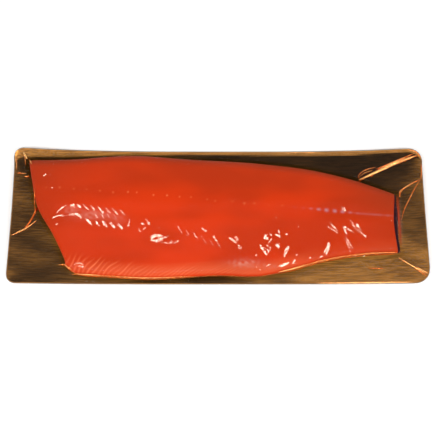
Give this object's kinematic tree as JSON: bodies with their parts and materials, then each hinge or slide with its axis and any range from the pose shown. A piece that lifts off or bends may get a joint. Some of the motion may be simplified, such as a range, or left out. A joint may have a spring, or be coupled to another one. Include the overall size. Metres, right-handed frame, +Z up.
{
  "type": "vacuum pack of smoked salmon",
  "caption": "Whole side of smoked salmon, skin down, on a bowed gold-faced card with rounded corners, wrapped in clear clinging vacuum film.",
  "frame": {"origin": "on the underside, in the middle of the pack's footprint, where its flat middle rests", "axes": "+X along the pack from the shoulder cut to the tail, +Y from the belly edge to the back edge, +Z up through the card and the fillet"},
  "size_m": [0.6026, 0.2026, 0.0354],
  "materials": {
    "film": "clear glossy plastic film",
    "gold_card": "gold foil laminated on card, smooth with fine lengthwise streaks",
    "skin": "thin fish skin, dark blue-grey with a silver sheen",
    "flesh": "moist cold-smoked salmon, deep orange-red"
  },
  "bodies": {
    "root": {"film_back": "film", "board": "gold_card", "skin": "skin", "flesh": "flesh", "film_front": "film"}
  },
  "joints": []
}
